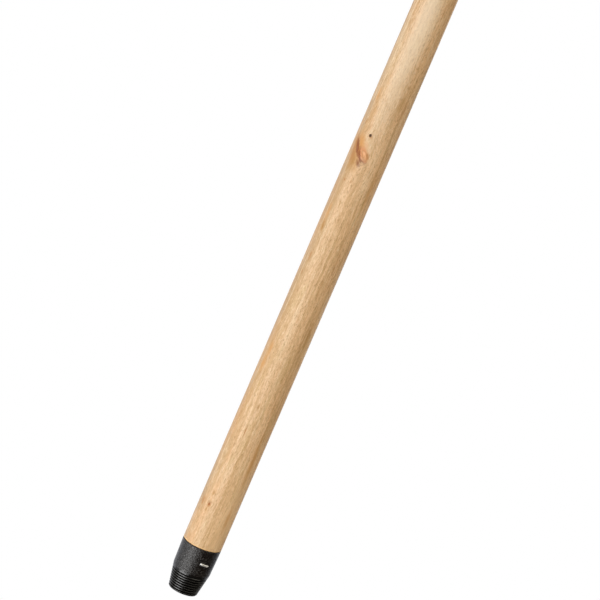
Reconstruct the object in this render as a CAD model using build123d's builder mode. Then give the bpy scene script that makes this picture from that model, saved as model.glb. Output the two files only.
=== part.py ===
from build123d import *
import os
from math import atan, cos, degrees, radians, sin, tan

# Timber roller pole: a turned rod, and a moulded cap on its lower end that screws into a paint
# roller's handle. Two driven staples hold the cap on. Millimetres. The pole's axis is Z, the cap
# points down, and the origin is the centre of the cap's flat nose. The front is -Y.

# ---- Driving dimensions --------------------------------------------------------------------------

# Pole
overall_length = 1200.0  # from the cap's nose face to the top of the pole
pole_diameter = 25.0
top_round = 10.0  # rounds the top end almost to a dome
shoulder_chamfer = 0.6  # broken arris where the timber meets the cap

# Cap: a plain sleeve above, a steeper threaded nose below
cap_length = 32.5
rim_step = 0.1  # the sleeve's rim stands this far proud of the timber
rim_round = 0.25
nose_length = 15.5
sleeve_foot_diameter = 24.2  # where the sleeve meets the nose
nose_diameter = 18.6  # at the nose face, before its edge is rounded
nose_round = 1.0
cap_wall = 1.9
nose_thickness = 3.0

# Thread on the nose: right-handed, and tapered with it
thread_pitch = 1.6
thread_depth = 0.6
thread_root_flat = 0.3
thread_flank_angle = 30.0  # each flank, from square to the surface
thread_plain = 2.2  # plain band between the end of the groove and the sleeve
thread_lead_in = 1.2  # the groove starts this far below the nose face, so it runs out of the nose
groove_overcut = 0.3  # the groove's cutter reaches this far outside the crests

# Timber spigot inside the cap
spigot_clearance = 0.1
spigot_end_gap = 1.0

# Staples, driven through the sleeve into the spigot
staple_crown = 6.3  # measured over the legs
staple_leg = 9.0  # from the crown's outer face to the points
wire_width = 1.25  # in line with the pole
wire_thickness = 1.0  # into the pole
staple_bend = 0.4  # inside radius between a leg and the crown
staple_point = 1.4  # length of the chisel point
staple_proud = 0.4  # crown's outer face above the sleeve, at mid-crown
staple_below_rim = 9.4
staple_slant = -6.0  # degrees, seen from outside
staple_angles = {"staple_front": 33.0, "staple_back": 213.0}  # degrees round from the front

# ---- Sizes that follow ---------------------------------------------------------------------------

pole_radius = pole_diameter / 2
rim_radius = pole_radius + rim_step
foot_radius = sleeve_foot_diameter / 2
nose_radius = nose_diameter / 2
nose_slope = (foot_radius - nose_radius) / nose_length
nose_taper = atan(nose_slope)
sleeve_slope = (rim_radius - foot_radius) / (cap_length - nose_length)
thread_end = nose_length - thread_plain
spigot_end = nose_thickness + spigot_end_gap
staple_height = cap_length - staple_below_rim


def cap_radius(height):
    """The cap's outside radius at a height, with no thread and no rounded edges."""
    if height < nose_length:
        return nose_radius + nose_slope * height
    return foot_radius + sleeve_slope * (height - nose_length)


# ---- Staples -------------------------------------------------------------------------------------


def staple_plane(angle):
    """Centre of the crown's outer face, with x along the crown and y straight out of the pole."""
    up = Vector(0, 0, 1)
    outward = Vector(sin(radians(angle)), -cos(radians(angle)), 0)
    level = up.cross(outward)
    along_crown = level * cos(radians(staple_slant)) + up * sin(radians(staple_slant))
    return Plane(
        origin=outward * (cap_radius(staple_height) + staple_proud) + up * staple_height,
        x_dir=along_crown,
        z_dir=along_crown.cross(outward),
    )


half_crown = staple_crown / 2
half_gap = half_crown - wire_thickness
staples = []
for staple_name, staple_angle in staple_angles.items():
    with BuildPart() as staple:
        with BuildSketch(staple_plane(staple_angle)):
            with BuildLine():
                Polyline(
                    (-half_crown, 0),
                    (-half_crown, staple_point - staple_leg),
                    (-half_gap, -staple_leg),
                    (-half_gap, -wire_thickness),
                    (half_gap, -wire_thickness),
                    (half_gap, -staple_leg),
                    (half_crown, staple_point - staple_leg),
                    (half_crown, 0),
                    close=True,
                )
            make_face()
            fillet(vertices().group_by(Axis.Y)[-2], radius=staple_bend)
            fillet(vertices().group_by(Axis.Y)[-1], radius=staple_bend + wire_thickness)
        extrude(amount=wire_width / 2, both=True)
    staple.part.label = staple_name
    staples.append(staple.part)

# ---- Cap -----------------------------------------------------------------------------------------

with BuildPart() as threaded_cap:
    with BuildSketch(Plane.XZ):
        with BuildLine():
            Polyline(
                (0, 0),
                (nose_radius, 0),
                (foot_radius, nose_length),
                (rim_radius, cap_length),
                (rim_radius - cap_wall, cap_length),
                (foot_radius - cap_wall, nose_length),
                (cap_radius(nose_thickness) - cap_wall, nose_thickness),
                (0, nose_thickness),
                close=True,
            )
        make_face()
        fillet(vertices().group_by(Axis.Y)[0].sort_by(Axis.X)[-1], radius=nose_round)
        fillet(vertices().group_by(Axis.Y)[-1].sort_by(Axis.X)[-1], radius=rim_round)
    revolve(axis=Axis.Z)

    # The thread is one tapered helical groove, cut by a trapezium that follows the nose's cone.
    start_radius = cap_radius(-thread_lead_in)
    flank = tan(radians(thread_flank_angle))
    half_root = thread_root_flat / 2
    half_mouth = half_root + (thread_depth + groove_overcut) * flank
    with BuildLine() as groove_path:
        Helix(
            pitch=thread_pitch / cos(nose_taper),
            height=thread_end + thread_lead_in,
            radius=start_radius,
            center=(0, 0, -thread_lead_in),
            cone_angle=degrees(nose_taper),
        )
    with BuildSketch(Plane.XZ) as groove_profile:
        with BuildLine():
            Polyline(
                (start_radius - thread_depth, -thread_lead_in - half_root),
                (start_radius + groove_overcut, -thread_lead_in - half_mouth),
                (start_radius + groove_overcut, -thread_lead_in + half_mouth),
                (start_radius - thread_depth, -thread_lead_in + half_root),
                close=True,
            )
        make_face()
    sweep(path=groove_path.line, is_frenet=True, mode=Mode.SUBTRACT)
    add(staples, mode=Mode.SUBTRACT)
threaded_cap.part.label = "threaded_cap"

# ---- Pole ----------------------------------------------------------------------------------------

spigot_depth = cap_wall + spigot_clearance  # the spigot's side lies this far inside the cap's

with BuildPart() as timber_pole:
    with BuildSketch(Plane.XZ):
        with BuildLine():
            Polyline(
                (0, spigot_end),
                (cap_radius(spigot_end) - spigot_depth, spigot_end),
                (foot_radius - spigot_depth, nose_length),
                (rim_radius - spigot_depth, cap_length),
                (pole_radius, cap_length),
                (pole_radius, overall_length),
                (0, overall_length),
                close=True,
            )
        make_face()
        fillet(vertices().group_by(Axis.Y)[-1].sort_by(Axis.X)[-1], radius=top_round)
        shoulder = vertices().group_by(Axis.X)[-1].sort_by(Axis.Y)[0]
        chamfer(shoulder, length=shoulder_chamfer)
    revolve(axis=Axis.Z)
    add(staples, mode=Mode.SUBTRACT)
timber_pole.part.label = "timber_pole"

# ---- Export --------------------------------------------------------------------------------------

os.makedirs("parts", exist_ok=True)
for piece in [timber_pole.part, threaded_cap.part, *staples]:
    export_step(piece, f"parts/{piece.label}.step")
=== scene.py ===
# %% [markdown]
# # A timber roller pole with a threaded cap
#
# The object is a turned rod of pale timber with a black moulded cap on its lower end. The cap screws
# into the handle of a paint roller, and two driven staples hold it on. The rod is plain, so what
# makes it look real is small: the flow of the grain round a knot, the step where timber meets
# plastic, the roll of the thread's crests. This lesson makes those in the mesh first, because light
# finds a real edge from every side, and leaves to the shader only what is too fine to be a shape.
#
# The first cell loads the engineering model. It fixes every size, and each piece made here stands in
# for one of its parts.

# %% Load the frame
import math
from collections import namedtuple

import bmesh
import bpy
from mathutils import Euler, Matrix, Quaternion, Vector, noise


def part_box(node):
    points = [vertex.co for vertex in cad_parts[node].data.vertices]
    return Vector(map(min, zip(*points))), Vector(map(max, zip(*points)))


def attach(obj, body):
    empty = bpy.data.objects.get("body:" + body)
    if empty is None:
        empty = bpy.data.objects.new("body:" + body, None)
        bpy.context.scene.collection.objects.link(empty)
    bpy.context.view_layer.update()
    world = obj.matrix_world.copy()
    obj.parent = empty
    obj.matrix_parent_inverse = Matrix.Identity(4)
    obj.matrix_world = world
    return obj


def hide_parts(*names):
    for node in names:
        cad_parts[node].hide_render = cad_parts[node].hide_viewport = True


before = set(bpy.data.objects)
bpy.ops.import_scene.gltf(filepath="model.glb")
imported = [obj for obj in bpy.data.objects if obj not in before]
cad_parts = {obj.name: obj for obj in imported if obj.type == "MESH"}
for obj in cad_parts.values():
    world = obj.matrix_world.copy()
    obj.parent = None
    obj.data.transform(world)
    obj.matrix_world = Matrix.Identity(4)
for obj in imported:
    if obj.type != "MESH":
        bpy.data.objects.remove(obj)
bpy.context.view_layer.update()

MM = 0.001  # the scene is in metres, and the pieces are thought of in millimetres
pole_low, pole_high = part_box("timber_pole")
POLE_R = pole_high.x / MM
POLE_TOP = pole_high.z / MM
SPIGOT_Z = pole_low.z / MM  # the lowest point of the spigot inside the cap
RIM_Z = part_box("threaded_cap")[1].z / MM  # the cap's rim, where the timber's shoulder sits
print(f"pole {2 * POLE_R:.1f} mm across, top at {POLE_TOP:.0f} mm, cap's rim at {RIM_Z:.1f} mm")

# %% [markdown]
# ## Helpers for meshes
#
# Every piece here is a skin drawn over rows of points, as a net is drawn over hoops. A row can be
# a ring round the pole, a turn of a thread or a section of wire. `skin` joins row to row with quads,
# and where points fall together, merging them by distance leaves triangles and no holes. Blender's
# Screw tool makes the same net, but only from one fixed outline, and these outlines change as they
# go round. Edges sharper than a limit are marked, so smooth shading rolls over the soft ones only.


# %% Build a mesh from rows of points
MERGE_WITHIN = 0.0005 * MM


def on_pole(radius, azimuth, z):
    """A point in metres, from millimetres and radians, the azimuth round from the front (-Y)."""
    return Vector((radius * math.sin(azimuth), -radius * math.cos(azimuth), z)) * MM


def smooth_step(low, high, value):
    """0 below low, 1 above high, and an even S between."""
    t = min(max((value - low) / (high - low), 0.0), 1.0)
    return t * t * (3.0 - 2.0 * t)


def put_in_scene(name, data):
    """A new object for a mesh, a light or a camera."""
    made = bpy.data.objects.new(name, data)
    bpy.context.scene.collection.objects.link(made)
    return made


def skin(name, rows, sharp_degrees, closed=True, map_of=None):
    """An object from rows of points. map_of(row, column) gives a face corner's place on a UV map."""
    bm = bmesh.new()
    net = [[bm.verts.new(point) for point in row] for row in rows]
    layer = bm.loops.layers.uv.new("OFBake") if map_of else None
    count = len(rows[0])
    for i in range(len(rows) - 1):
        for j in range(count if closed else count - 1):
            corners = ((i, j), (i, j + 1), (i + 1, j + 1), (i + 1, j))
            face = bm.faces.new([net[a][b % count] for a, b in corners])
            if map_of:
                for loop, (a, b) in zip(face.loops, corners):
                    loop[layer].uv = map_of(i, a, b)
    bmesh.ops.remove_doubles(bm, verts=bm.verts, dist=MERGE_WITHIN)
    bmesh.ops.recalc_face_normals(bm, faces=bm.faces)
    mesh = bpy.data.meshes.new(name)
    bm.to_mesh(mesh)
    bm.free()
    mesh.shade_smooth()
    mesh.set_sharp_from_angle(angle=math.radians(sharp_degrees))
    print(f"{name}: {len(mesh.polygons)} faces")
    return put_in_scene(name, mesh)


def stops(low, high, coarse, fine, zones):
    """Values from low to high, a fine step apart inside the zones and a coarse one outside."""
    marks = sorted({low, high, *(edge for zone in zones for edge in zone)})
    values = [low]
    for start, end in zip(marks, marks[1:]):
        inside = any(zone[0] <= (start + end) / 2 <= zone[1] for zone in zones)
        count = max(1, round((end - start) / (fine if inside else coarse)))
        values += [start + (end - start) * k / count for k in range(1, count + 1)]
    return values


# %% [markdown]
# ## What marks the timber
#
# A branch that the tree grew round leaves a knot: a plug of denser, pinker wood, with a dark seam
# where its bark was caught, and grain that bends past it. Sanding cuts it flush, and then it dries a
# little proud or hollow. Every mark is written once here: how far up the pole, how far round from
# the front, its half length and half width, its colour, how strong and how soft it is, how far its
# top leans to the right, and how far it stands out of the surface. The mesh reads the lists to dent
# the timber and the shader reads them to stain it, so the two always line up. The alternative, a
# knot from stretched noise alone, never looks like one thing that happened to one stick.

# %% List the knots and stains
# in millimetres and degrees; most marks are upright and flush
mark_fields = "z turn half_length half_width colour strength soft lean raised"
Mark = namedtuple("Mark", mark_fields, defaults=(0.0, 0.0))
MARK_EDGE = 1.15  # where a mark has faded out, as a share of its half size
BARK, RED_BARK, RESIN = (0.080, 0.026, 0.010), (0.230, 0.058, 0.006), (0.450, 0.175, 0.035)
ROSE, SEAM = (0.680, 0.300, 0.120), (0.250, 0.052, 0.004)
OCHRE, AMBER, BUFF = (0.450, 0.225, 0.055), (0.660, 0.320, 0.095), (0.860, 0.460, 0.230)
CREAM_HIGHLIGHT, BROWN, FRESH = (0.930, 0.790, 0.610), (0.500, 0.320, 0.165), (0.980, 0.690, 0.400)
HOLE_DARK = (0.050, 0.020, 0.010)

# the four that the grain bends round
knot_body = Mark(306.1, -14.5, 5.5, 2.80, ROSE, 0.97, 0.40, -34.0, 0.10)
pin_knot = Mark(60.9, -27.5, 2.3, 1.45, RESIN, 0.95, 0.80, 12.0, -0.06)
far_pin_knot = Mark(642.0, 128.0, 2.6, 1.5, RESIN, 0.75, 0.80, -12.0, -0.08)
far_knot = Mark(905.0, -150.0, 3.0, 1.8, ROSE, 0.70, 0.70, 15.0, 0.06)

knot_marks = [
    # the halo of darker, richer wood that the knot sits in
    Mark(304.0, -36.0, 15.0, 6.0, AMBER, 0.55, 0.95, -14.0),
    Mark(311.5, -35.0, 8.5, 3.6, AMBER, 0.95, 0.95, -20.0),
    Mark(309.0, -56.0, 9.0, 3.2, RESIN, 0.80, 0.95, -10.0),
    Mark(298.5, -40.0, 8.0, 3.8, OCHRE, 0.85, 0.95, 4.0),
    Mark(301.5, -50.0, 6.5, 3.2, RESIN, 0.70, 0.95),
    Mark(311.5, -15.5, 4.4, 1.5, ROSE, 0.40, 0.90, -20.0),
    # bark round the knot, then the knot over it, which leaves a crescent on its left
    Mark(307.5, -38.0, 7.6, 2.40, RESIN, 0.95, 0.90, -34.0, -0.06),
    Mark(304.9, -18.0, 5.8, 3.5, SEAM, 0.97, 0.50, -34.0),
    knot_body,
    Mark(305.6, -12.5, 4.0, 1.85, RESIN, 0.60, 0.45, -36.0),
    Mark(305.8, -12.5, 3.0, 1.25, BUFF, 0.90, 0.60, -36.0),
    Mark(305.0, -11.0, 1.4, 0.6, RESIN, 0.45, 0.90, -36.0),
    Mark(308.4, -44.5, 6.6, 1.40, SEAM, 1.00, 0.50, -24.0, -0.08),
    Mark(301.2, -18.0, 2.8, 0.6, RED_BARK, 0.70, 0.80, -46.0, -0.05),
    Mark(299.3, -21.0, 3.6, 1.9, RED_BARK, 0.85, 0.95, -24.0, -0.03),
    Mark(306.0, -3.5, 3.4, 1.1, RESIN, 0.85, 0.85, -22.0, -0.05),
]
small_marks = [
    # a pinhole and its stained rim
    Mark(318.0, -16.5, 2.6, 1.9, RESIN, 0.60, 0.95),
    Mark(318.5, -19.5, 1.15, 0.9, HOLE_DARK, 1.00, 0.55, 0.0, -1.40),
    # a bud's pin knot low on the pole, with a short tail, and the bruise beside it
    pin_knot,
    Mark(61.3, -27.5, 1.4, 0.9, RED_BARK, 0.75, 0.80, 12.0, -0.10),
    Mark(57.6, -30.0, 2.4, 0.8, OCHRE, 0.95, 0.90, 4.0),
    Mark(61.5, -54.0, 4.0, 2.6, RESIN, 0.55, 0.95),
    Mark(68.8, -28.5, 2.6, 1.1, OCHRE, 0.65, 0.90, 4.0),
    # broad zones: a painted pale highlight above, browner to the left of the middle, fresher by the cap
    Mark(405.0, -5.0, 115.0, 9.0, CREAM_HIGHLIGHT, 0.55, 0.95),
    Mark(262.0, -54.0, 80.0, 7.0, BROWN, 0.45, 0.95),
    Mark(178.0, -60.0, 30.0, 5.0, BROWN, 0.35, 0.95),
    Mark(46.0, 42.0, 70.0, 8.0, FRESH, 0.50, 0.95),
    # flecks and blushes along the shaft
    Mark(325.0, -52.0, 2.8, 0.9, RESIN, 0.50, 0.90),
    Mark(344.0, -50.0, 6.0, 1.6, AMBER, 0.60, 0.95),
    Mark(286.0, -40.0, 1.5, 0.8, RESIN, 0.65, 0.80),
    Mark(287.0, -18.0, 1.4, 0.7, RESIN, 0.50, 0.80),
    Mark(270.5, -23.0, 3.6, 0.5, OCHRE, 0.80, 0.85),
    Mark(263.0, -50.0, 9.0, 2.0, AMBER, 0.50, 0.95),
    Mark(253.0, -48.0, 5.0, 1.9, OCHRE, 0.85, 0.95),
    Mark(232.5, -46.0, 4.8, 0.8, RESIN, 0.60, 0.85),
    Mark(221.0, -52.0, 2.6, 1.0, RESIN, 0.50, 0.90),
    Mark(167.5, -45.0, 8.0, 2.2, AMBER, 0.55, 0.95),
    Mark(157.0, -50.0, 7.0, 2.4, AMBER, 0.60, 0.95),
    Mark(131.5, -6.5, 3.2, 0.9, OCHRE, 0.65, 0.85),
    Mark(113.2, -14.0, 4.4, 0.5, RESIN, 0.70, 0.85),
    Mark(344.5, 29.0, 8.0, 1.8, OCHRE, 0.45, 0.95),
    Mark(339.5, 45.0, 9.0, 1.3, RESIN, 0.40, 0.95),
    Mark(182.5, 50.0, 12.0, 1.6, OCHRE, 0.50, 0.95),
    Mark(96.0, 44.0, 22.0, 2.2, AMBER, 0.62, 0.95),
    Mark(54.0, 42.0, 14.0, 1.9, AMBER, 0.55, 0.95),
    Mark(285.0, 46.0, 16.0, 1.5, AMBER, 0.45, 0.95),
    Mark(233.0, 38.0, 14.0, 1.2, RESIN, 0.30, 0.95),
]
far_marks = [
    # what the rest of such a stick carries: two more pin knots and some stain, on the other sides
    far_pin_knot,
    Mark(642.4, 127.0, 1.2, 0.7, BARK, 0.80, 0.80, -12.0, -0.12),
    Mark(646.0, 132.0, 9.0, 3.2, AMBER, 0.40, 0.95, -10.0),
    far_knot,
    Mark(904.0, -157.0, 2.6, 0.5, BARK, 0.75, 0.75, 15.0, -0.08),
    Mark(480.0, 60.0, 26.0, 3.0, AMBER, 0.30, 0.95),
    Mark(1040.0, 20.0, 34.0, 3.4, OCHRE, 0.30, 0.95),
]
marks = knot_marks + small_marks + far_marks


def mark_place(mark):
    """Where a mark's middle lies on the surface, in metres."""
    return on_pole(POLE_R, math.radians(mark.turn), mark.z)


def mark_rotation(mark):
    """Turns X to run round the pole and Z along the mark, with Y pointing into the timber."""
    return Euler((0.0, math.radians(mark.lean), math.radians(mark.turn)))


print(f"{len(marks)} marks, {sum(mark.raised != 0.0 for mark in marks)} of them in relief")

# %% [markdown]
# ## The timber pole
#
# A dowel mill cuts a square stick to a round one and a belt sands it, so the shaft is true but not
# perfect: it wanders by a few hundredths of a millimetre. The lower end is turned down to a tapered
# spigot that goes up inside the cap, with a shoulder whose arris is broken by hand and so varies in
# width. The top is rounded almost to a dome.
#
# A plain cylinder with a bump map would render alike at arm's length, but its outline would be dead
# straight and its knots would be paint. So the shaft is a net of rings, a quarter of a millimetre
# apart at the knots and coarse elsewhere, and each point moves in or out by the marks near it.

# %% Lay out the pole's rings
NOSE_Z, NOSE_R, FOOT_R, RIM_R = 15.5, 9.3, 12.1, 12.6  # the cap's outline, which the spigot follows
CAP_WALL, SPIGOT_GAP = 1.9, 0.1
SHOULDER_CHAMFER = 0.6
TOP_ROUND = 10.0
SPIGOT_ARRIS = 0.4
SPIGOT_STEP, RING_COARSE, RING_FINE = 4.0, 3.2, 0.25  # from ring to ring
TURN_COARSE, TURN_FINE = 3.4, 1.15  # degrees from point to point round a ring
DOME_STEPS = 14
KNOT_HEIGHTS, KNOT_TURNS = [(56.0, 65.0), (297.0, 322.0)], [(-58.0, 6.0)]


def cap_radius(z):
    """The cap's outside radius, without its thread."""
    if z < NOSE_Z:
        return NOSE_R + (FOOT_R - NOSE_R) * z / NOSE_Z
    return FOOT_R + (RIM_R - FOOT_R) * (z - NOSE_Z) / (RIM_Z - NOSE_Z)


def spigot_radius(z):
    return cap_radius(z) - CAP_WALL - SPIGOT_GAP


def pole_outline():
    """(radius, height) of each ring, from the spigot's end to the top."""
    low = [(0.0, SPIGOT_Z), (spigot_radius(SPIGOT_Z) - SPIGOT_ARRIS, SPIGOT_Z)]
    sleeve = [(NOSE_Z, RIM_Z)]
    heights = stops(SPIGOT_Z + SPIGOT_ARRIS, RIM_Z, SPIGOT_STEP, SPIGOT_STEP, sleeve)
    low += [(spigot_radius(z), z) for z in heights]
    low += [(POLE_R - SHOULDER_CHAMFER, RIM_Z)]
    shaft_low, shaft_high = RIM_Z + SHOULDER_CHAMFER, POLE_TOP - TOP_ROUND
    heights = stops(shaft_low, shaft_high, RING_COARSE, RING_FINE, KNOT_HEIGHTS)
    shaft = [(POLE_R, z) for z in heights]
    flat = POLE_R - TOP_ROUND
    dome = []
    for k in range(1, DOME_STEPS + 1):
        angle = math.pi / 2 * k / DOME_STEPS
        dome.append((flat + TOP_ROUND * math.cos(angle), shaft_high + TOP_ROUND * math.sin(angle)))
    return low + shaft + dome + [(flat / 2, POLE_TOP), (0.0, POLE_TOP)]


outline = pole_outline()
turns = stops(-180.0, 180.0, TURN_COARSE, TURN_FINE, KNOT_TURNS)
print(f"{len(outline)} rings of {len(turns) - 1} points")

# %% [markdown]
# The relief of one mark is a soft-edged ellipse. `Mark.raised` says how far its middle stands out,
# so a pinhole is simply a small, hard-edged mark that goes in deeper than half its own width.


# %% Shape the timber's surface
relief_marks = [
    (mark_place(mark), mark_rotation(mark).to_matrix().transposed(), mark)
    for mark in marks
    if mark.raised != 0.0
]
SANDING_WANDER = 0.035  # how far the shaft strays from a true cylinder
WAVES_ACROSS, WAVES_UP = 90.0, 14.0  # and its waves to a metre
ARRIS_WANDER, ARRIS_WAVES = 0.12, 260.0


def mark_relief(point):
    """How far the marks move a point outwards, in millimetres."""
    moved = 0.0
    for place, to_local, mark in relief_marks:
        reach = 2.0 * max(mark.half_length, mark.half_width) * MM
        if abs(point.z - place.z) > reach or (point - place).length > reach:
            continue
        local = to_local @ (point - place) / MM
        distance = math.hypot(local.x / mark.half_width, local.z / mark.half_length)
        moved += mark.raised * (1.0 - smooth_step(1.0 - mark.soft, MARK_EDGE, distance))
    return moved


def timber_ring(radius, z):
    """One ring of the pole. Only the shaft and the dome, which show, wander from a true circle."""
    ring = []
    for turn in turns[:-1]:
        azimuth = math.radians(turn)
        point = on_pole(radius, azimuth, z)
        if radius > 0.0 and z > RIM_Z + SHOULDER_CHAMFER / 2:
            x, y = point.x * WAVES_ACROSS, point.y * WAVES_ACROSS
            slow = noise.noise(Vector((x, y, point.z * WAVES_UP)))
            inward = SANDING_WANDER * (0.5 + 0.5 * slow)
            point = on_pole(radius - inward + mark_relief(point), azimuth, z)
        if abs(z - RIM_Z - SHOULDER_CHAMFER) < SHOULDER_CHAMFER / 4:
            point.z += ARRIS_WANDER * MM * noise.noise(point * ARRIS_WAVES)
        ring.append(point)
    return ring


# %% [markdown]
# The pole is unwrapped here as well. Its skin is about 1200 by 80 mm, which on a square map would
# squash the grain to a blur along its length. So the map cuts the pole into four lengths and lays
# them side by side: each point's place along the outline picks its length and its height in it.

# %% Unwrap the pole in four lengths and build it
LENGTHS, GUTTER = 4, 0.012
along = [0.0]
for (r0, z0), (r1, z1) in zip(outline, outline[1:]):
    along.append(along[-1] + math.hypot(r1 - r0, z1 - z0))


def pole_map(first_row, row, column):
    """A corner's place on the map, in the strip that holds the face's first row."""
    strip_size = along[-1] / LENGTHS
    strip = min(int(along[first_row] / strip_size), LENGTHS - 1)
    across = GUTTER + (1.0 - 2.0 * GUTTER) * (turns[column] + 180.0) / 360.0
    up = GUTTER + (1.0 - 3.0 * GUTTER) * (along[row] / strip_size - strip)
    return (strip + across) / LENGTHS, up


pole_rows = [timber_ring(radius, z) for radius, z in outline]
pole = skin("pole_timber", pole_rows, sharp_degrees=28.0, map_of=pole_map)
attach(pole, "root")
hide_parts("timber_pole")

# %% [markdown]
# ## The moulded cap
#
# The cap is injection moulded in black plastic: a plain sleeve above, then a nose that tapers more
# steeply and carries a fine thread. Its thread is one groove that winds up the nose and dies away
# before the sleeve. A boolean cut would leave long slivers, and a stack of grooved rings would not
# be a thread. Instead the rows of the net themselves climb like a thread: row `t` lies at the same
# distance from the groove all the way round, one pitch higher after a turn, so every crest and root
# runs along a row and is crisp. Rows that climb past the end of the nose are held there, and merge.

# %% Shape of the thread
PITCH = 1.6
GROOVE_START = -1.2  # the groove's height at +X, from where it climbs to the right
GROOVE_END = 13.3
GROOVE_DEPTH = 0.6
GROOVE_FADE = 0.45  # the last part of a turn over which the groove dies away
ROOT_HALF, MOUTH_HALF = 0.12, 0.54
NOSE_ROUND = 1.0
THREAD_TOP = 14.6  # above this height the rows are plain rings
# the rows of one pitch, from the groove's centre, close where its flanks turn
groove_rows = [-0.80, -0.66, -0.55, -0.50, -0.44, -0.32, -0.20, -0.14]
groove_rows += [0.0, 0.14, 0.20, 0.32, 0.44, 0.50, 0.55, 0.66]
nose_taper = math.atan((FOOT_R - NOSE_R) / NOSE_Z)
round_height = NOSE_ROUND * (1.0 - math.sin(nose_taper))  # where the rounded edge meets the cone
round_centre = NOSE_R - NOSE_ROUND * math.tan((math.pi / 2 - nose_taper) / 2)


def climb(azimuth):
    """How much of a turn an azimuth is past +X, where the groove's height is counted from."""
    return (azimuth - math.pi / 2) / (2.0 * math.pi)


def groove_depth(azimuth, z):
    """Depth of the groove below the cone at a point of the nose."""
    turn = round((z - GROOVE_START) / PITCH - climb(azimuth))
    centre = GROOVE_START + PITCH * (turn + climb(azimuth))
    flank = 1.0 - smooth_step(ROOT_HALF, MOUTH_HALF, abs(z - centre))
    turns_left = (GROOVE_END - centre) / PITCH
    return GROOVE_DEPTH * flank * smooth_step(0.0, GROOVE_FADE, turns_left)


def nose_point(azimuth, row_z):
    """A point of the nose. Rows near the end follow its rounded edge, evenly spaced along it."""
    z, radius = row_z, cap_radius(row_z)
    if row_z < round_height:
        angle = -math.pi / 2 + (math.pi / 2 - nose_taper) * row_z / round_height
        z = NOSE_ROUND * (1.0 + math.sin(angle))
        radius = round_centre + NOSE_ROUND * math.cos(angle)
    return min(radius, cap_radius(z) - groove_depth(azimuth, z)), z


print(f"groove {GROOVE_DEPTH} mm deep, {(GROOVE_END - GROOVE_START) / PITCH:.1f} turns")

# %% [markdown]
# The sleeve has its own small truths. The mould's two halves leave a faint parting line down each
# side. Its skin is spark-eroded to a grain, coarse enough here to be real relief. And where a staple
# has been driven, the plastic is pressed in round the crown. The staples are found first, from the
# engineering model: the points furthest from the axis are the ends of the crown's outer face.


# %% Find the staples
Staple = namedtuple("Staple", "name outward along centre")
CROWN_ENDS = 0.35  # points this near the furthest one belong to the crown's ends


def find_staple(node):
    """The crown's outer face: its centre, the way out of the pole and the way along the crown."""
    points = [vertex.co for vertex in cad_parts[node].data.vertices]
    reach = max(point.xy.length for point in points)
    crown = [point for point in points if point.xy.length > reach - CROWN_ENDS * MM]
    middle = sum(crown, Vector()) / len(crown)
    outward = Vector((middle.x, middle.y, 0.0)).normalized()
    level = Vector((0.0, 0.0, 1.0)).cross(outward)
    right = [point for point in crown if (point - middle).dot(level) > 0.0]
    left = [point for point in crown if (point - middle).dot(level) <= 0.0]
    along_crown = (sum(right, Vector()) / len(right) - sum(left, Vector()) / len(left)).normalized()
    face = max(point.dot(outward) for point in points)
    low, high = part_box(node)
    centre = outward * face + Vector((0.0, 0.0, (low.z + high.z) / 2))
    return Staple(node, outward, along_crown, centre)


staples = [find_staple("staple_front"), find_staple("staple_back")]
for staple in staples:
    tilt = math.degrees(math.asin(staple.along.z))
    turn = math.degrees(math.atan2(staple.outward.x, -staple.outward.y))
    print(f"{staple.name}: {turn:.1f} degrees round, {staple.centre.z / MM:.1f} mm up, tilt {tilt:.1f}")

# %% [markdown]
# Now the whole cap is one closed net: out along the nose face from the stub of the moulding gate,
# up the threaded nose and the sleeve, over the rim, and down the socket that holds the spigot.

# %% Shape the sleeve
STAPLE_CROWN, WIRE_WIDTH, WIRE_THICK = 6.3, 1.25, 1.0
PRESS_DEPTH = 0.16
LIP_SHARE, LIP_OUT, LIP_HALF = 0.35, 1.15, 0.35  # the plastic pushed aside stands up as a low lip
GRAIN_DEPTH = 0.022
GRAIN_COARSE, GRAIN_FINE, FINE_SHARE = 1500.0, 3100.0, 0.6  # lumps to a metre
GRAIN_PEAK = 1.7  # more than both sizes add up to, so the grain only goes inwards
PARTING_PROUD, PARTING_HALF = 0.05, 0.14
FOOT_BLEND = 1.4  # how far either side of the foot its edge is softened
FOOT_HOLLOW = 0.25  # and how much it is drawn in


def pressed_in(point):
    """How far a staple's crown has pushed the sleeve in beside it."""
    pressed = 0.0
    for staple in staples:
        offset = (point - staple.centre) / MM
        if offset.length > STAPLE_CROWN:
            continue
        up = staple.outward.cross(staple.along)
        beyond = max(abs(offset.dot(staple.along)) - STAPLE_CROWN / 2, 0.0)
        gap = math.hypot(beyond, max(abs(offset.dot(up)) - WIRE_WIDTH / 2, 0.0))
        pressed += PRESS_DEPTH * (1.0 - smooth_step(0.0, 1.0, gap))
        pressed -= LIP_SHARE * PRESS_DEPTH * math.exp(-(((gap - LIP_OUT) / LIP_HALF) ** 2))
    return pressed


def parting_ridge(azimuth):
    """The mould's parting line, at both sides of the cap."""
    off_side = abs(math.cos(azimuth)) * RIM_R
    return PARTING_PROUD * max(0.0, 1.0 - off_side / PARTING_HALF)


def cap_point(azimuth, radius, z, grain=1.0):
    """A point of the outside, with the grain of the mould, the parting line and the staples' dents."""
    point = on_pole(radius, azimuth, z)
    lumps = noise.noise(point * GRAIN_COARSE) + FINE_SHARE * noise.noise(point * GRAIN_FINE)
    ridge = parting_ridge(azimuth) - PARTING_PROUD
    radius += (GRAIN_DEPTH * (lumps - GRAIN_PEAK) + ridge) * grain
    return on_pole(radius - pressed_in(point), azimuth, z)


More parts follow.
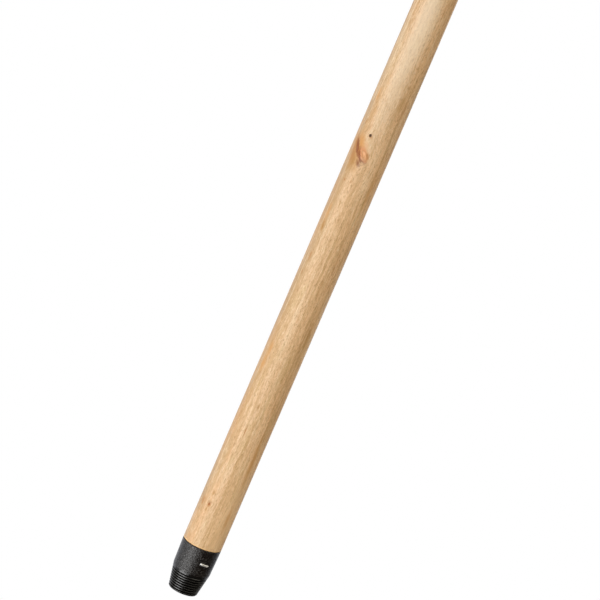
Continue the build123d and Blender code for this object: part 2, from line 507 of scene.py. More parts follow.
def sleeve_radius(z):
    """The cap's outline with the edge between nose and sleeve softened."""
    if abs(z - NOSE_Z) > FOOT_BLEND:
        return cap_radius(z)
    share = (z - NOSE_Z + FOOT_BLEND) / (2.0 * FOOT_BLEND)
    below = FOOT_R - (FOOT_R - NOSE_R) / NOSE_Z * (NOSE_Z - z)
    above = FOOT_R + (RIM_R - FOOT_R) / (RIM_Z - NOSE_Z) * (z - NOSE_Z)
    return below * (1.0 - share) + above * share - abs(above - below) * FOOT_HOLLOW * (1.0 - share)


# %% Build the cap
NOSE_FLOOR = 3.0  # thickness of the nose's end wall
RIM_ROUND = 0.25
ROW_STEP = 0.38
NOSE_GRAIN = 0.35  # the nose is moulded smoother than the sleeve
GRAIN_FROM, GRAIN_WHOLE = 0.6, 1.2  # its rounded edge has no grain, which comes in over these heights
GATE_R, GATE_DEEP, STUB_R, STUB_UP = 2.3, 0.35, 0.8, 0.22
CAP_TURN, PARTING_TURN = 1.6, 0.6  # degrees from point to point, and at the parting lines
PARTING_TURNS = [(-91.0, -89.0), (89.0, 91.0)]
cap_turns = stops(-180.0, 180.0, CAP_TURN, PARTING_TURN, PARTING_TURNS)
cap_azimuths = [math.radians(turn) for turn in cap_turns]


def plain_ring(radius, z, grain=0.0):
    if grain:
        return [cap_point(azimuth, radius, z, grain) for azimuth in cap_azimuths]
    return [on_pole(radius, azimuth, z) for azimuth in cap_azimuths]


def nose_face_rows():
    """From the middle of the gate's stub out to the rounded edge. Nothing is below the face."""
    stub = [(0.0, GATE_DEEP - STUB_UP), (STUB_R * 0.8, GATE_DEEP - STUB_UP)]
    stub += [(STUB_R, GATE_DEEP - STUB_UP * 0.7), (STUB_R * 1.1, GATE_DEEP)]
    recess = [(GATE_R - 0.25, GATE_DEEP), (GATE_R, 0.12), (GATE_R + 0.15, 0.0)]
    rings = stub + recess + [(round_centre * share, 0.0) for share in (0.5, 0.75)]
    return [plain_ring(radius, z) for radius, z in rings]


def thread_rows():
    """Rows that climb with the groove, held between the nose's face and the top of the thread."""
    rows = []
    # rows climb a pitch as they go round, so they start and end beyond the thread
    lowest = int(-GROOVE_START / PITCH) - 3
    highest = int((THREAD_TOP - GROOVE_START) / PITCH) + 2
    for turn in range(lowest, highest):
        for offset in groove_rows:
            row = []
            for azimuth in cap_azimuths:
                climbing = GROOVE_START + PITCH * (turn + climb(azimuth)) + offset
                radius, z = nose_point(azimuth, min(max(climbing, 0.0), THREAD_TOP))
                grain = NOSE_GRAIN * smooth_step(GRAIN_FROM, GRAIN_WHOLE, z)
                row.append(cap_point(azimuth, radius, z, grain))
            rows.append(row)
    return rows


def sleeve_rows():
    """Up the sleeve, round its rim, and down the socket to the end wall."""
    heights = stops(THREAD_TOP, RIM_Z - RIM_ROUND, ROW_STEP, ROW_STEP, [])[1:]
    rows = []
    for z in heights:
        grain = NOSE_GRAIN + (1.0 - NOSE_GRAIN) * smooth_step(THREAD_TOP, NOSE_Z + 0.8, z)
        rows.append(plain_ring(sleeve_radius(z), z, grain))
    for share in (1 / 3, 2 / 3, 1.0):
        angle = share * math.pi / 2
        inset, height = RIM_ROUND * (1.0 - math.cos(angle)), RIM_ROUND * (math.sin(angle) - 1.0)
        rows.append(plain_ring(cap_radius(RIM_Z) - inset, RIM_Z + height, 1.0 - share))
    socket = [(cap_radius(z) - CAP_WALL, z) for z in (RIM_Z, NOSE_Z, NOSE_FLOOR)]
    return rows + [plain_ring(radius, z) for radius, z in socket + [(0.0, NOSE_FLOOR)]]


cap_rows = nose_face_rows() + thread_rows() + sleeve_rows()
cap = skin("cap_moulded", cap_rows, sharp_degrees=40.0, closed=False)
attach(cap, "root")
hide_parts("threaded_cap")

# %% [markdown]
# ## The staples
#
# Each staple is a bent length of flattened, galvanised wire. Its crown shows as a short bright bar,
# because the gun drives it straight and the round sleeve falls away under its ends. A curve with a
# bevel would give the wire, but not the chisel points, so the wire is rows of one rounded section,
# carried along the staple from point to point. Near a point the section thins from its outer side,
# which is what makes a driven staple's legs bend inwards and grip.

# %% Build the staples
STAPLE_LEG, POINT_LENGTH, BEND = 9.0, 1.4, 0.4
WIRE_CORNER = 0.32
LEG_STATIONS = (-6.0, -4.0, -2.6, -1.9)  # heights along the plain leg, from the crown
POINT_THICK = 0.06  # what is left at the very point, as a share of the wire
BEND_STEPS, CROWN_STEPS, CORNER_STEPS = 8, 6, 4
DRIVER_MARK, DRIVER_WAVES = 0.02, 1900.0


def half_staple():
    """(inner point, outward direction, thickness) along the wire, from a point to mid-crown."""
    half_gap = STAPLE_CROWN / 2 - WIRE_THICK
    stations = []
    for share in (0.0, 0.25, 0.5, 0.75, 1.0):
        height = -STAPLE_LEG + POINT_LENGTH * share
        thick = POINT_THICK + (1.0 - POINT_THICK) * share
        stations.append(((-half_gap, height), math.pi, WIRE_THICK * thick))
    stations += [((-half_gap, y), math.pi, WIRE_THICK) for y in LEG_STATIONS]
    for k in range(BEND_STEPS + 1):
        angle = math.pi - math.pi / 2 * k / BEND_STEPS
        x = -half_gap + BEND + BEND * math.cos(angle)
        y = -WIRE_THICK - BEND + BEND * math.sin(angle)
        stations.append(((x, y), angle, WIRE_THICK))
    start = BEND - half_gap
    for k in range(1, CROWN_STEPS + 1):
        stations.append(((start * (1.0 - k / CROWN_STEPS), -WIRE_THICK), math.pi / 2, WIRE_THICK))
    return stations


def wire_section(thickness):
    """A rectangle with round corners: (along the outward direction, across the wire)."""
    corner = min(WIRE_CORNER, 0.45 * thickness)
    points = []
    for quarter, (u, v) in enumerate(((1, 1), (0, 1), (0, -1), (1, -1))):
        middle = (corner if u == 0 else thickness - corner, v * (WIRE_WIDTH / 2 - corner))
        for k in range(CORNER_STEPS + 1):
            angle = math.pi / 2 * (quarter + k / CORNER_STEPS)
            points.append((middle[0] + corner * math.cos(angle), middle[1] + corner * math.sin(angle)))
    return points


def staple_rows(staple):
    left = half_staple()
    right = [((-x, y), math.pi - angle, thickness) for (x, y), angle, thickness in left]
    across = staple.along.cross(staple.outward)
    rows = []
    for (x, y), angle, thickness in left + right[-2::-1]:
        row = []
        for u, v in wire_section(thickness):
            px, py = x + u * math.cos(angle), y + u * math.sin(angle)
            point = staple.centre + (staple.along * px + staple.outward * py + across * v) * MM
            dent = DRIVER_MARK * (0.5 + 0.5 * noise.noise(point * DRIVER_WAVES))
            row.append(point - staple.outward * dent * MM)
        rows.append(row)
    first, last = sum(rows[0], Vector()) / len(rows[0]), sum(rows[-1], Vector()) / len(rows[-1])
    return [[first] * len(rows[0])] + rows + [[last] * len(rows[-1])]


wires = []
for staple in staples:
    wire = skin(f"{staple.name}_wire", staple_rows(staple), sharp_degrees=50.0)
    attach(wire, "root")
    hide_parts(staple.name)
    wires.append(wire)

# %% [markdown]
# ## Helpers for materials
#
# A material is a small tree of nodes. `Tree` adds a node and joins or sets its inputs in one call, so
# the cells below read in the order that the colour is built up. Everything is measured in
# millimetres on the object itself, because a texture that is tied to the object stays the right size
# from every side and when the part is used elsewhere.


# %% A short way to build nodes
class Tree:
    """Adds nodes to a tree. An input is given as a number, a colour or another node's output."""

    def __init__(self, tree):
        self.tree = tree
        tree.nodes.clear()

    def add(self, kind, inputs, output=0, **settings):
        """A new node. Gives one of its outputs, or the node itself where output is None."""
        node = self.tree.nodes.new(f"ShaderNode{kind}")
        for key, value in settings.items():
            setattr(node, key, value)
        for key, value in inputs.items():
            if isinstance(value, bpy.types.NodeSocket):
                self.tree.links.new(value, node.inputs[key])
            else:
                node.inputs[key].default_value = value
        return node.outputs[output] if output is not None else node

    def join(self, node, outputs):
        """Joins outputs to the named inputs of a node that is already there."""
        for key, value in outputs.items():
            self.tree.links.new(value, node.inputs[key])

    def math(self, operation, *values):
        return self.add("Math", dict(enumerate(values)), operation=operation)

    def times(self, *values):
        return self.math("MULTIPLY", *values)

    def line(self, value, slope, start):
        """slope times value, plus start."""
        return self.math("MULTIPLY_ADD", value, slope, start)

    def vector(self, operation, *values, output=0):
        return self.add("VectorMath", dict(enumerate(values)), output, operation=operation)

    def scale(self, vector, by):
        return self.add("VectorMath", {0: vector, "Scale": by}, operation="SCALE")

    def ramp(self, value, low, high, to_low=0.0, to_high=1.0):
        """An even S from to_low at low to to_high at high, and flat outside."""
        inputs = {"Value": value, "From Min": low, "From Max": high, "To Min": to_low, "To Max": to_high}
        return self.add("MapRange", inputs, interpolation_type="SMOOTHSTEP")

    def mix(self, share, under, over):
        """One colour laid over another. Inputs 6 and 7 and output 2 are the node's colour sockets."""
        under, over = [(*c, 1.0) if isinstance(c, tuple) else c for c in (under, over)]
        return self.add("Mix", {"Factor": share, 6: under, 7: over}, 2, data_type="RGBA")

    def noise(self, place, stretch, detail, roughness, output=0):
        """Noise from 0 to 1. stretch is how many lumps there are to a millimetre along x, y and z."""
        place = self.vector("MULTIPLY", place, stretch)
        inputs = {"Vector": place, "Scale": 1.0, "Detail": detail, "Roughness": roughness}
        return self.add("TexNoise", inputs, output)

    def group(self, group, inputs):
        return self.add("Group", inputs, node_tree=group)

    def bump(self, height, relief):
        """A normal that leans with a height from 0 to 1, which stands for relief in millimetres."""
        return self.add("Bump", {"Strength": 1.0, "Distance": relief * MM, "Height": height})

    def millimetres(self):
        """The place on the object, in millimetres."""
        place = self.add("TexCoord", {}, "Object")
        return self.vector("MULTIPLY", place, (1.0 / MM, 1.0 / MM, 1.0 / MM))


def new_group(name, inputs, outputs):
    """A shader node group, with its tree, what its input node gives and its output node."""
    group = bpy.data.node_groups.new(name, "ShaderNodeTree")
    for socket, kind, value in inputs:
        made = group.interface.new_socket(name=socket, in_out="INPUT", socket_type=f"NodeSocket{kind}")
        if value is not None:
            made.default_value = value
    for socket, kind in outputs:
        group.interface.new_socket(name=socket, in_out="OUTPUT", socket_type=f"NodeSocket{kind}")
    tree = Tree(group)
    entry = group.nodes.new("NodeGroupInput")
    leave = group.nodes.new("NodeGroupOutput")
    return group, tree, entry.outputs, leave


def new_material(name):
    """A material with an empty tree, a Principled BSDF and the place in millimetres."""
    material = bpy.data.materials.new(name)
    material.use_nodes = True
    tree = Tree(material.node_tree)
    shader = tree.add("BsdfPrincipled", {}, None)
    tree.add("OutputMaterial", {"Surface": shader.outputs[0]}, None)
    return material, tree, shader, tree.millimetres()


def give(piece, material):
    piece.data.materials.clear()
    piece.data.materials.append(material)
    print(f"{piece.name}: {material.name}, {len(material.node_tree.nodes)} nodes")


# %% [markdown]
# ## Groups that several finishes share
#
# All three finishes have fine relief that comes in two sizes at once, and two of them carry specks:
# dust on the plastic and freckles on the wire. Each is one group, built once, and each material
# gives it its own scale, stretch and amount. The groups put out plain values, so the materials
# decide whether a value is a colour, a gloss or a height.

# %% Two-scale relief
GRIT_SHARE = 0.45
relief_group, tree, given, leave = new_group(
    "two_scale_relief",
    [("Place", "Vector", None), ("Coarse", "Vector", (1.0, 1.0, 1.0)), ("Finer By", "Float", 3.0)],
    [("Height", "Float")],
)
coarse = tree.vector("MULTIPLY", given["Place"], given["Coarse"])
fine = tree.scale(coarse, given["Finer By"])
lumps = tree.add("TexNoise", {"Vector": coarse, "Scale": 1.0, "Detail": 2.0, "Roughness": 0.55})
grit = tree.add("TexNoise", {"Vector": fine, "Scale": 1.0, "Detail": 1.0, "Roughness": 0.5})
height = tree.line(grit, GRIT_SHARE, tree.times(lumps, 1.0 - GRIT_SHARE))
tree.join(leave, {"Height": height})
print(f"{relief_group.name}: {len(relief_group.nodes)} nodes")

# %% Specks
SPECK_CORE, SPECK_EDGE = 0.12, 0.34  # where a speck starts to fade and ends, in cells
speck_group, tree, given, leave = new_group(
    "specks",
    [("Place", "Vector", None), ("Per Millimetre", "Vector", (1.0, 1.0, 1.0)), ("Share", "Float", 0.1)],
    [("Mask", "Float")],
)
cells = tree.vector("MULTIPLY", given["Place"], given["Per Millimetre"])
voronoi = tree.add("TexVoronoi", {"Vector": cells, "Scale": 1.0, "Randomness": 1.0}, None)
lot = tree.add("SeparateColor", {0: voronoi.outputs["Color"]})
chosen = tree.math("LESS_THAN", lot, given["Share"])
near = tree.ramp(voronoi.outputs["Distance"], SPECK_CORE, SPECK_EDGE, 1.0, 0.0)
tree.join(leave, {"Mask": tree.times(chosen, near)})
print(f"{speck_group.name}: {len(speck_group.nodes)} nodes")

# %% [markdown]
# ## Grain that goes round a knot
#
# In a real stick the fibres part before a knot and close again above it. A stretched noise only ever
# runs straight, so the place itself is bent before it is given to the noise: near a knot, points are
# read from closer to the knot's own middle line than they are, and lines that would have crossed the
# knot are pushed aside. One group does this, and is used once for each knot, in a chain.

# %% Grain flow
flow_group, tree, given, leave = new_group(
    "grain_flow",
    [
        ("Place", "Vector", None),
        ("Knot", "Vector", None),
        ("Rotation", "Vector", None),
        ("Reach", "Vector", (1.0, 1.0, 1.0)),
        ("Sideways", "Vector", (1.0, 0.0, 0.0)),
    ],
    [("Place", "Vector")],
)
mapping = {"Vector": given["Place"], "Location": given["Knot"]}
mapping.update({"Rotation": given["Rotation"], "Scale": given["Reach"]})
local = tree.add("Mapping", mapping, vector_type="TEXTURE")
squared = tree.vector("DOT_PRODUCT", local, local, output="Value")
nearness = tree.math("EXPONENT", tree.times(squared, -1.0))
from_knot = tree.vector("SUBTRACT", given["Place"], given["Knot"])
aside = tree.vector("DOT_PRODUCT", from_knot, given["Sideways"], output="Value")
shift = tree.scale(given["Sideways"], tree.times(aside, nearness))
tree.join(leave, {"Place": tree.vector("SUBTRACT", given["Place"], shift)})
print(f"{flow_group.name}: {len(flow_group.nodes)} nodes")

# %% Stain
stain_group, tree, given, leave = new_group(
    "stain",
    [
        ("Place", "Vector", None),
        ("Middle", "Vector", None),
        ("Rotation", "Vector", None),
        ("Half Size", "Vector", (1.0, 1.0, 1.0)),
        ("Ragged", "Float", 0.0),
        ("Soft", "Float", 0.5),
        ("Strength", "Float", 1.0),
    ],
    [("Mask", "Float")],
)
mapping = {"Vector": given["Place"], "Location": given["Middle"]}
mapping.update({"Rotation": given["Rotation"], "Scale": given["Half Size"]})
local = tree.add("Mapping", mapping, vector_type="TEXTURE")
distance = tree.math("ADD", tree.vector("LENGTH", local, output="Value"), given["Ragged"])
inner = tree.math("SUBTRACT", 1.0, given["Soft"])
mask = tree.ramp(distance, inner, MARK_EDGE, 1.0, 0.0)
tree.join(leave, {"Mask": tree.times(mask, given["Strength"])})
print(f"{stain_group.name}: {len(stain_group.nodes)} nodes")

# %% [markdown]
# ## The timber
#
# The stick was cut from beside the heart of a small log. Each year's ring is a shell round the
# heart, so the rings show as broad soft bands along the sides and as arcs on the end. The material is
# a true solid: one ring field through the whole stick, with its heart outside it, gives both at once
# and they always meet. On top of the rings come the fibres, then the short dark pores, then warm and
# ochre blushes, and last the stains of the list, one after another.

# %% Place the grain
timber, tree, timber_shader, place = new_material("timber_pale_straw")
FLOW_DEPTH = 9.0  # how far the bending goes into the timber
FLOW_LEAN = 0.35  # the grain leans less than its knot does
WANDER, WANDER_LUMPS = 5.0, (0.05, 0.05, 0.012)  # the slow stray of all the grain
flowing = place
# each knot, and how far aside and along its bending reaches
knots = [
    (knot_body, 6.0, 13.0),
    (pin_knot, 2.2, 6.5),
    (far_pin_knot, 3.6, 12.0),
    (far_knot, 4.0, 13.0),
]
for mark, reach_aside, reach_along in knots:
    knot_turn = math.radians(mark.turn)
    inputs = {
        "Place": flowing,
        "Knot": mark_place(mark) / MM,
        "Rotation": Euler((0.0, math.radians(mark.lean * FLOW_LEAN), knot_turn)),
        "Reach": (reach_aside, FLOW_DEPTH, reach_along),
        "Sideways": (math.cos(knot_turn), math.sin(knot_turn), 0.0),
    }
    flowing = tree.group(flow_group, inputs)
wander = tree.noise(place, WANDER_LUMPS, 2.0, 0.5, "Color")
wander = tree.vector("SUBTRACT", wander, (0.5, 0.5, 0.5))
flowing = tree.vector("ADD", flowing, tree.vector("MULTIPLY", wander, (WANDER, WANDER, 0.0)))
print(f"grain bends round {len(knots)} knots")

# %% Rings, fibres and pores
HEART = (31.0, -15.0)  # the tree's heart, in millimetres from the pole's axis
HEART_LEAN = 0.011
RINGS_PER_MM = 0.36
axes = tree.add("SeparateXYZ", {0: flowing}, None).outputs
heart_x = tree.line(axes["Z"], HEART_LEAN, HEART[0])
from_x, from_y = tree.math("SUBTRACT", axes["X"], heart_x), tree.math("SUBTRACT", axes["Y"], HEART[1])
from_heart = tree.add("CombineXYZ", {0: from_x, 1: from_y})
heart_distance = tree.vector("LENGTH", from_heart, output="Value")
year = tree.times(heart_distance, RINGS_PER_MM)
ring_inputs = {"W": year, "Scale": 1.0, "Detail": 3.0, "Roughness": 0.62}
rings = tree.add("TexNoise", ring_inputs, noise_dimensions="1D")
fibres = tree.noise(flowing, (1.45, 1.45, 0.24), 5.0, 0.70)
streaks = tree.noise(flowing, (0.55, 0.55, 0.014), 3.0, 0.6)
veins = tree.noise(flowing, (0.85, 0.85, 0.040), 3.0, 0.65)
dashes = tree.noise(flowing, (3.2, 3.2, 0.50), 2.0, 0.55)
pores = tree.ramp(dashes, 0.56, 0.68)
clouds = tree.noise(place, (0.15, 0.15, 0.022), 3.0, 0.65)
shadows = tree.noise(flowing, (0.20, 0.20, 0.012), 3.0, 0.65)
rightwards = tree.add("SeparateXYZ", {0: place})
print("rings, fibres, streaks, veins, pores, clouds and shadows")

# %% Colour of the clear timber
# the stick is browner to the left of its front and yellower to the right: partly the wood's own
# tone, and partly painted shade on the left edge and painted light on the shaded right side
UMBER_AND_SHADE, STRAW, HONEY_AND_LIGHT = (0.430, 0.308, 0.185), (0.780, 0.546, 0.336), (0.930, 0.610, 0.335)
LATE_WOOD, LATE_SHARE = (0.660, 0.415, 0.200), 0.30
# painted shade, with the wood's own browner tone: the left edge of the front is darkened
colour = tree.mix(tree.ramp(rightwards, -12.8, -5.5), UMBER_AND_SHADE, STRAW)
# painted light, with the wood's own yellower tone: the right side, which the lamps leave darker, is
# brightened
colour = tree.mix(tree.ramp(rightwards, -4.0, 12.0), colour, HONEY_AND_LIGHT)
late = tree.times(tree.ramp(rings, 0.36, 0.70), LATE_SHARE)
colour = tree.mix(late, colour, LATE_WOOD)
on_right = tree.ramp(rightwards, -2.0, 10.0, 0.35, 1.0)
on_left = tree.ramp(rightwards, 6.0, -9.0)
shades = [
    # how much of which colour, and the mask that says where
    (0.34, (0.780, 0.430, 0.205), tree.times(tree.ramp(clouds, 0.46, 0.64), on_left)),
    (0.45, (0.600, 0.420, 0.180), tree.ramp(clouds, 0.46, 0.30)),
    (0.42, (0.560, 0.360, 0.165), tree.ramp(shadows, 0.50, 0.68)),
    (0.40, (0.880, 0.680, 0.450), tree.ramp(shadows, 0.46, 0.32)),
    (0.52, (0.570, 0.350, 0.155), tree.ramp(streaks, 0.50, 0.66)),
    (0.52, (0.920, 0.715, 0.480), tree.ramp(streaks, 0.46, 0.30)),
    (0.60, (0.600, 0.300, 0.120), tree.times(tree.ramp(veins, 0.53, 0.68), on_right)),
    (0.80, (0.460, 0.260, 0.112), tree.ramp(fibres, 0.49, 0.72)),
    (0.66, (0.970, 0.785, 0.560), tree.ramp(fibres, 0.47, 0.28)),
    (0.60, (0.360, 0.178, 0.068), pores),
]
for share, shade, mask in shades:
    colour = tree.mix(tree.times(mask, share), colour, shade)
print(f"{len(shades)} shades over the base colour")

# %% Stain the knots and marks
STAIN_DEPTH = 6.0  # how far a mark goes into the timber
RAGGED = 1.2  # how far its outline strays, as a share of its half size
ragged = tree.noise(flowing, (1.3, 1.3, 0.40), 3.0, 0.6)
ragged = tree.times(tree.math("SUBTRACT", ragged, 0.5), RAGGED)
for mark in marks:
    inputs = {
        "Place": place,
        "Middle": mark_place(mark) / MM,
        "Rotation": mark_rotation(mark),
        "Half Size": (mark.half_width, STAIN_DEPTH, mark.half_length),
        "Ragged": ragged,
        "Soft": mark.soft,
        "Strength": mark.strength,
    }
    colour = tree.mix(tree.group(stain_group, inputs), colour, mark.colour)
print(f"{len(marks)} stains")

# %% [markdown]
# Where the shoulder's arris was broken, the cut shows fresh, yellower timber. Right at the plastic a
# dark red line is painted as the shade in the gap where the timber meets the cap. On the rounded top
# the cut runs across the fibres, and end grain drinks in dirt and light, so it is darker and duller.

# %% Finish the timber
FRESH_CUT, JOINT_SHADE = (0.900, 0.580, 0.270), (0.130, 0.045, 0.018)
END_PALE, END_DARK = (0.660, 0.430, 0.230), (0.400, 0.225, 0.100)
FRESH_BAND, JOINT_SHADE_BAND = (0.80, 1.60), (0.30, 0.62)  # millimetres above the rim, where each fades out
height = tree.add("SeparateXYZ", {0: place}, "Z")
height = tree.line(ragged, 0.25, height)
fresh = tree.ramp(height, RIM_Z + FRESH_BAND[0], RIM_Z + FRESH_BAND[1], 0.65, 0.0)
colour = tree.mix(fresh, colour, FRESH_CUT)
# painted shade: a dark red line in the gap at the cap's rim
joint_shade = tree.ramp(height, RIM_Z + JOINT_SHADE_BAND[0], RIM_Z + JOINT_SHADE_BAND[1], 0.97, 0.0)
colour = tree.mix(joint_shade, colour, JOINT_SHADE)
facing = tree.add("SeparateXYZ", {0: tree.add("NewGeometry", {}, "Normal")}, "Z")
end_grain = tree.ramp(facing, 0.35, 0.95)
end_colour = tree.mix(tree.ramp(rings, 0.40, 0.62), END_PALE, END_DARK)
colour = tree.mix(tree.times(end_grain, 0.75), colour, end_colour)

GRAIN_RELIEF, PORE_RELIEF = 0.035, 0.35  # in millimetres, and as a share of that
relief = tree.group(relief_group, {"Place": flowing, "Coarse": (1.7, 1.7, 0.12)})
relief = tree.math("SUBTRACT", relief, tree.times(pores, PORE_RELIEF))
bump = tree.bump(relief, GRAIN_RELIEF)
gloss = tree.line(fibres, 0.22, 0.36)
gloss = tree.line(end_grain, 0.25, gloss)
tree.join(timber_shader, {"Base Color": colour, "Roughness": gloss, "Normal": bump})
timber_shader.inputs["IOR"].default_value = 1.45
give(pole, timber)

# %% [markdown]
# ## The moulded plastic
#
# Black polypropylene from a spark-eroded mould is never one black. The sleeve's grain scatters the
# light and holds a little pale dust. The nose is smoother and blacker, its crests are worn from being
# screwed in, and the roots of its groove lie in their own shade and give almost no light back. Crest
# and root are found from the shape itself, by how far a point lies inside the nose's cone. The roots'
# shade is painted: a shiny black still mirrors the room, so the root is mixed towards a black metal,
# which mirrors next to nothing.

# %% Finish the cap
SLEEVE_DARK, SLEEVE_LIGHT = (0.0034, 0.0016, 0.0012), (0.0080, 0.0058, 0.0050)
RUBBED, DUST, DUST_SHARE = (0.042, 0.040, 0.038), (0.120, 0.115, 0.105), 0.10
NOSE_BLACK, ROOT_SHADE_BLACK = (0.0012, 0.0008, 0.0007), (0.001, 0.001, 0.001)
WORN = (0.0045, 0.0040, 0.0036)
MOULD_LUMPS = (0.80, 0.80, 0.80)  # of its grain, to a millimetre
MOULD_RELIEF = 0.54  # in millimetres
NOSE_EDGE = NOSE_Z - 1.6  # where the sleeve's finish starts to come in
plastic, tree, plastic_shader, place = new_material("moulded_black")
axes = tree.add("SeparateXYZ", {0: place}, None).outputs
flat = tree.add("CombineXYZ", {0: axes["X"], 1: axes["Y"]})
from_axis = tree.vector("LENGTH", flat, output="Value")
cone = tree.line(axes["Z"], (FOOT_R - NOSE_R) / NOSE_Z, NOSE_R)
below_crest = tree.math("SUBTRACT", cone, from_axis)
on_nose = tree.ramp(axes["Z"], NOSE_EDGE, NOSE_Z - 0.6, 1.0, 0.0)
worn = tree.times(tree.ramp(below_crest, 0.02, 0.16, 1.0, 0.0), on_nose)
# painted shade: the groove's roots are blackened and, through Metallic, stop mirroring
root = tree.times(tree.ramp(below_crest, 0.20, 0.50), on_nose)
mould_grain = tree.group(relief_group, {"Place": place, "Coarse": MOULD_LUMPS})
mottle = tree.noise(place, MOULD_LUMPS, 3.0, 0.70)
on_sleeve = tree.ramp(axes["Z"], NOSE_EDGE, NOSE_Z + 0.4, 0.30, 1.0)
mould_grain = tree.times(mould_grain, on_sleeve)
dust = {"Place": place, "Per Millimetre": (1.1, 1.1, 1.1), "Share": DUST_SHARE}
dust = tree.group(speck_group, dust)
colour = tree.mix(tree.ramp(mottle, 0.30, 0.60), SLEEVE_DARK, SLEEVE_LIGHT)
coats = [
    (tree.times(tree.ramp(mottle, 0.53, 0.70), on_sleeve), RUBBED),
    (tree.times(dust, 0.40), DUST),
    (on_nose, NOSE_BLACK),
    (worn, WORN),
    # painted shade in the groove's roots
    (root, ROOT_SHADE_BLACK),
]
for mask, coat in coats:
    colour = tree.mix(mask, colour, coat)
gloss = tree.line(mottle, 0.30, 0.14)
gloss = tree.line(worn, -0.06, gloss)
gloss = tree.line(root, 0.50, gloss)
bump = tree.bump(mould_grain, MOULD_RELIEF)
tree.join(plastic_shader, {"Base Color": colour, "Roughness": gloss, "Metallic": root, "Normal": bump})
# the nose gives back a quarter less light than the sleeve
tree.join(plastic_shader, {"Specular IOR Level": tree.line(on_nose, -0.12, 0.50)})
plastic_shader.inputs["IOR"].default_value = 1.70
give(cap, plastic)

# %% [markdown]
# ## The staple's wire
#
# Zinc dulls to a pale grey bloom within weeks, so the wire is only half a mirror: a light, broad
# sheen with drawn lines along it and a few brown freckles where the driver has cut through.

# %% Finish the staples
BRIGHT, BLOOM, RUST = (0.800, 0.795, 0.780), (0.660, 0.655, 0.640), (0.300, 0.190, 0.110)
zinc, tree, zinc_shader, place = new_material("galvanised_wire")
bloom = tree.noise(place, (1.1, 1.1, 1.1), 3.0, 0.6)
drawn = tree.group(relief_group, {"Place": place, "Coarse": (0.7, 0.7, 6.0)})
freckles = {"Place": place, "Per Millimetre": (1.6, 1.6, 1.6), "Share": 0.10}
freckles = tree.group(speck_group, freckles)
colour = tree.mix(tree.ramp(bloom, 0.35, 0.65), BRIGHT, BLOOM)
colour = tree.mix(tree.times(freckles, 0.5), colour, RUST)
metal = tree.ramp(bloom, 0.35, 0.65, 0.70, 0.45)
gloss = tree.line(bloom, 0.25, 0.36)
bump = tree.bump(drawn, 0.02)
tree.join(zinc_shader, {"Base Color": colour, "Metallic": metal, "Roughness": gloss, "Normal": bump})
for wire in wires:
    give(wire, zinc)

# %% [markdown]
# ## Floor and light
#
# The stick hangs over a plain white light table, which only the camera sees, so that the light on
# the stick is set by the soft boxes and walls alone. A tall soft box in front to the left draws the
# broad highlight down the sleeve, and a low, wide one under it catches the crests of the thread, which
# lean down and mirror only what is low. The walls behind are a cool white and draw the plastic's thin
# rims, and the room in front to the right is dark. The warm, bright ceiling lights the timber's right
# side without showing in the plastic. A small lamp would be less work, but a hard dot on the grain.

# %% Floor
FLOOR_Z, FLOOR_HALF = -0.35, 60.0
corners = [(-1, -1), (1, -1), (1, 1), (-1, 1)]
corners = [(x * FLOOR_HALF, y * FLOOR_HALF, FLOOR_Z) for x, y in corners]
floor_mesh = bpy.data.meshes.new("floor")
floor_mesh.from_pydata(corners, [], [(0, 1, 2, 3)])
floor = put_in_scene("floor", floor_mesh)
floor.visible_diffuse = floor.visible_glossy = floor.visible_shadow = False
floor_material = bpy.data.materials.new("floor_white")
floor_material.use_nodes = True
tree = Tree(floor_material.node_tree)
from_below = tree.add("NewGeometry", {}, "Backfacing")
white = tree.add("Emission", {"Color": (1.0, 1.0, 1.0, 1.0), "Strength": 1.0})
surface = tree.add("MixShader", {0: from_below, 1: white, 2: tree.add("BsdfTransparent", {})})
tree.add("OutputMaterial", {"Surface": surface}, None)
floor_mesh.materials.append(floor_material)
print(f"floor at {FLOOR_Z} m")


# %% Soft boxes
LIT_POINT = Vector((0.0, 0.0, 0.2))


def soft_box(name, turn, elevation, distance, size, radiance):
    """An area light that faces the lit point, in degrees and metres, as bright as its radiance says."""
    turn, elevation = math.radians(turn), math.radians(elevation)
    flat = math.cos(elevation)
    offset = Vector((flat * math.sin(turn), -flat * math.cos(turn), math.sin(elevation)))
    light = bpy.data.lights.new(name, "AREA")
    light.shape = "RECTANGLE"
    light.size, light.size_y = size
    light.energy = radiance * math.pi * size[0] * size[1]
    lamp = put_in_scene(name, light)
    lamp.location = LIT_POINT + offset * distance
    lamp.rotation_euler = (-offset).to_track_quat("-Z", "Y").to_euler()
    lamp.visible_camera = False
    print(f"{name}: {light.energy:.0f} W")


soft_box("key_soft_box", -46.0, -8.0, distance=2.4, size=(2.4, 3.0), radiance=1.14)
soft_box("low_soft_box", -42.0, -42.0, distance=2.4, size=(1.9, 0.7), radiance=5.6)

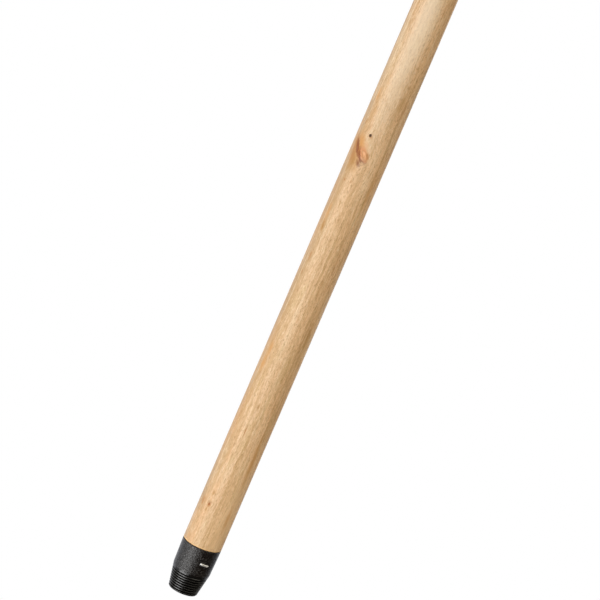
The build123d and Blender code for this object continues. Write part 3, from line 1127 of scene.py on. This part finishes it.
# %% Walls and ceiling of the studio
DARK_RIGHT, GREY_LEFT = (0.045, 0.037, 0.031), (0.14, 0.14, 0.14)
COOL_WHITE, WARM_CEILING, PLAIN_WHITE = (0.84, 0.86, 0.92), (2.45, 2.27, 1.92), (1.0, 1.0, 1.0)
BEHIND_LEAN = -0.32  # turns the white behind a little to the left
world = bpy.data.worlds.new("studio")
bpy.context.scene.world = world
world.use_nodes = True
tree = Tree(world.node_tree)
sides = tree.add("SeparateXYZ", {0: tree.add("TexCoord", {}, "Generated")}, None).outputs
front = tree.mix(tree.ramp(sides["X"], 0.2, -0.7), DARK_RIGHT, GREY_LEFT)
behind = tree.line(sides["X"], BEHIND_LEAN, sides["Y"])
walls = tree.mix(tree.ramp(behind, 0.10, 1.00), front, COOL_WHITE)
overhead = tree.ramp(sides["Z"], 0.95, 0.75, 0.35, 1.0)
ceiling = tree.times(tree.ramp(sides["Z"], 0.34, 0.58), overhead)
walls = tree.mix(ceiling, walls, WARM_CEILING)
seen = tree.add("LightPath", {}, "Is Camera Ray")
walls = tree.mix(seen, walls, PLAIN_WHITE)
tree.add("OutputWorld", {"Surface": tree.add("Background", {"Color": walls, "Strength": 1.0})}, None)
print("studio: cool white behind, warm above, dark to the right")

# %% [markdown]
# ## Camera
#
# The stick is seen from a little above and leans across the frame because the camera is rolled, not
# the stick: the part stays upright in its own frame. The lens is long and far away, so the edges of
# the stick stay parallel. The view transform is the plain one, so white stays white.

# %% Camera
VIEW_DOWN, ROLL = math.radians(16.5), math.radians(23.26)
FRAME_WIDTH, CAMERA_DISTANCE = 0.3682, 10.0
AIM = Vector((-0.00395, 0.0, 0.2012))
camera_data = bpy.data.cameras.new("camera")
camera_data.sensor_width = 36.0
camera_data.lens = camera_data.sensor_width * CAMERA_DISTANCE / FRAME_WIDTH
camera_data.clip_end = 200.0
camera = put_in_scene("camera", camera_data)
forward = Vector((0.0, math.cos(VIEW_DOWN), -math.sin(VIEW_DOWN)))
camera.location = AIM - forward * CAMERA_DISTANCE
level = forward.to_track_quat("-Z", "Y")
camera.rotation_euler = (level @ Quaternion((0.0, 0.0, 1.0), ROLL)).to_euler()
bpy.context.scene.camera = camera
bpy.context.scene.view_settings.view_transform = "Standard"
print(f"lens {camera_data.lens:.0f} mm")
